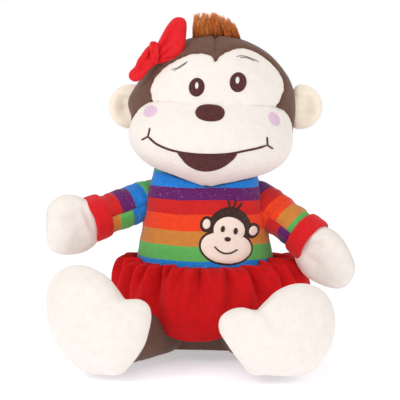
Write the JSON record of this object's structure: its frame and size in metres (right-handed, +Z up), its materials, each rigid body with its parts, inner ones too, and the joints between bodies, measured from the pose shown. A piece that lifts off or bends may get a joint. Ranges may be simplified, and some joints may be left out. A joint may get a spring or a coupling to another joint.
{
  "type": "stuffed monkey doll",
  "caption": "Seated soft toy monkey with round ears, a hair tuft, a bow, a striped shirt, a gathered bubble skirt and mitten hands and feet, jointed at neck and limbs.",
  "frame": {"origin": "centre of the flat underside of the seat", "axes": "-Y is the way the doll faces, +Z is up, +X is the doll's own left"},
  "size_m": [0.2099, 0.1707, 0.2348],
  "materials": {
    "fill": "loose polyester filling",
    "pellet_cotton": "cotton bag of pellets",
    "brown_velboa": "dark brown short-pile plush",
    "cream_velboa": "cream short-pile plush",
    "ear_velboa": "cream short-pile plush",
    "striped_velboa": "short-pile plush with printed stripes in blue, purple, red, orange, tan and green",
    "red_velboa": "red short-pile plush",
    "skirt_velboa": "red short-pile plush",
    "bow_satin": "red woven cloth",
    "tuft_fur": "rust-brown long pile",
    "maroon_thread": "dark maroon embroidery",
    "white_thread": "white embroidery",
    "grey_thread": "dark grey embroidery",
    "pink_thread": "pink embroidery",
    "patch_felt": "brown felt",
    "patch_thread": "embroidery in cream, brown, pink and black"
  },
  "bodies": {
    "torso": {"torso_stuffing": "fill", "pellet_bag": "pellet_cotton", "shirt_front_panel": "striped_velboa", "shirt_back_panel": "striped_velboa", "lower_body_cover": "brown_velboa", "skirt": "skirt_velboa", "patch_backing": "patch_felt", "patch_embroidery": "patch_thread"},
    "neck_core": {"neck_stuffing": "fill"},
    "neck_sleeve": {"neck_cover": "brown_velboa"},
    "head": {"head_stuffing": "fill", "face_upper_panel": "cream_velboa", "muzzle_panel": "cream_velboa", "crown_left_panel": "brown_velboa", "crown_right_panel": "brown_velboa", "left_eye": "maroon_thread", "right_eye": "maroon_thread", "eye_highlights": "white_thread", "nose": "maroon_thread", "mouth_line": "maroon_thread", "mouth_fill": "maroon_thread", "brow_threads": "grey_thread", "cheek_patches": "pink_thread", "hair_tuft": "tuft_fur", "bow_left_loop": "bow_satin", "bow_right_loop": "bow_satin", "bow_knot": "bow_satin"},
    "left_ear": {"left_ear_front": "ear_velboa", "left_ear_back": "ear_velboa"},
    "left_shoulder": {"left_shoulder_stuffing": "fill"},
    "left_arm": {"left_sleeve_upper": "striped_velboa", "left_sleeve_lower": "striped_velboa", "left_arm_stuffing": "fill", "left_cuff": "red_velboa"},
    "left_hand": {"left_hand_front": "cream_velboa", "left_hand_back": "cream_velboa", "left_hand_stuffing": "fill"},
    "left_hip": {"left_hip_stuffing": "fill"},
    "left_leg": {"left_leg_cover": "brown_velboa", "left_leg_stuffing": "fill"},
    "left_foot": {"left_foot_sole": "cream_velboa", "left_foot_upper": "cream_velboa", "left_foot_stuffing": "fill"},
    "right_ear": {"right_ear_front": "ear_velboa", "right_ear_back": "ear_velboa"},
    "right_shoulder": {"right_shoulder_stuffing": "fill"},
    "right_arm": {"right_sleeve_upper": "striped_velboa", "right_sleeve_lower": "striped_velboa", "right_arm_stuffing": "fill", "right_cuff": "red_velboa"},
    "right_hand": {"right_hand_front": "cream_velboa", "right_hand_back": "cream_velboa", "right_hand_stuffing": "fill"},
    "right_hip": {"right_hip_stuffing": "fill"},
    "right_leg": {"right_leg_cover": "brown_velboa", "right_leg_stuffing": "fill"},
    "right_foot": {"right_foot_sole": "cream_velboa", "right_foot_upper": "cream_velboa", "right_foot_stuffing": "fill"}
  },
  "joints": [
    {"name": "head_turn", "type": "hinge", "parent": "torso", "child": "neck_core", "pos_m": [0, 0.004, 0.122], "axis": [0, 0, 1], "range_deg": [-33, 17], "stiffness_Nm_per_rad": 0.35},
    {"name": "head_tilt", "type": "hinge", "parent": "neck_core", "child": "neck_sleeve", "pos_m": [0, 0.004, 0.122], "axis": [0.0958, -0.9954, 0], "range_deg": [-2, 9], "stiffness_Nm_per_rad": 0.8},
    {"name": "head_nod", "type": "hinge", "parent": "neck_sleeve", "child": "head", "pos_m": [0, 0.004, 0.122], "axis": [-0.993, -0.0956, 0.0698], "range_deg": [-8, 12], "stiffness_Nm_per_rad": 0.8},
    {"name": "left_ear_fold", "type": "hinge", "parent": "head", "child": "left_ear", "pos_m": [0.06478, 0.01024, 0.17108], "axis": [-0.0694, -0.0067, -0.9976], "range_deg": [-15, 25], "stiffness_Nm_per_rad": 0.02},
    {"name": "left_shoulder_swing", "type": "hinge", "parent": "torso", "child": "left_shoulder", "pos_m": [0.037, 0.003, 0.107], "axis": [0, 0, -1], "range_deg": [-22, 3], "stiffness_Nm_per_rad": 0.15},
    {"name": "left_shoulder_raise", "type": "hinge", "parent": "left_shoulder", "child": "left_arm", "pos_m": [0.037, 0.003, 0.107], "axis": [-0.4226, -0.9063, 0], "range_deg": [-8, 30], "stiffness_Nm_per_rad": 0.15},
    {"name": "left_wrist_bend", "type": "hinge", "parent": "left_arm", "child": "left_hand", "pos_m": [0.0762, -0.01528, 0.07997], "axis": [-0.4226, -0.9063, 0], "range_deg": [-2, 25], "stiffness_Nm_per_rad": 0.06},
    {"name": "left_hip_spread", "type": "hinge", "parent": "torso", "child": "left_hip", "pos_m": [0.0285, -0.02, 0.0182], "axis": [0, 0, 1], "range_deg": [-6, 20], "stiffness_Nm_per_rad": 0.3},
    {"name": "left_hip_flex", "type": "hinge", "parent": "left_hip", "child": "left_leg", "pos_m": [0.0285, -0.02, 0.0182], "axis": [-0.9336, -0.3584, 0], "range_deg": [0, 20], "stiffness_Nm_per_rad": 0.3},
    {"name": "left_ankle_bend", "type": "hinge", "parent": "left_leg", "child": "left_foot", "pos_m": [0.05322, -0.08441, 0.0194], "axis": [-0.9877, -0.1564, 0], "range_deg": [-20, 20], "stiffness_Nm_per_rad": 0.15},
    {"name": "right_ear_fold", "type": "hinge", "parent": "head", "child": "right_ear", "pos_m": [-0.05692, -0.00148, 0.17161], "axis": [0.0694, 0.0067, 0.9976], "range_deg": [-15, 25], "stiffness_Nm_per_rad": 0.02},
    {"name": "right_shoulder_swing", "type": "hinge", "parent": "torso", "child": "right_shoulder", "pos_m": [-0.037, 0.003, 0.107], "axis": [0, 0, 1], "range_deg": [-22, 15], "stiffness_Nm_per_rad": 0.15},
    {"name": "right_shoulder_raise", "type": "hinge", "parent": "right_shoulder", "child": "right_arm", "pos_m": [-0.037, 0.003, 0.107], "axis": [-0.5446, 0.8387, 0], "range_deg": [-8, 22], "stiffness_Nm_per_rad": 0.15},
    {"name": "right_wrist_bend", "type": "hinge", "parent": "right_arm", "child": "right_hand", "pos_m": [-0.07822, -0.02377, 0.09337], "axis": [-0.5446, 0.8387, 0], "range_deg": [-15, 15], "stiffness_Nm_per_rad": 0.06},
    {"name": "right_hip_spread", "type": "hinge", "parent": "torso", "child": "right_hip", "pos_m": [-0.0285, -0.02, 0.0182], "axis": [0, 0, -1], "range_deg": [-6, 20], "stiffness_Nm_per_rad": 0.3},
    {"name": "right_hip_flex", "type": "hinge", "parent": "right_hip", "child": "right_leg", "pos_m": [-0.0285, -0.02, 0.0182], "axis": [-0.9336, 0.3584, 0], "range_deg": [0, 20], "stiffness_Nm_per_rad": 0.3},
    {"name": "right_ankle_bend", "type": "hinge", "parent": "right_leg", "child": "right_foot", "pos_m": [-0.05322, -0.08441, 0.0194], "axis": [-0.9877, 0.1564, 0], "range_deg": [-20, 20], "stiffness_Nm_per_rad": 0.15}
  ]
}
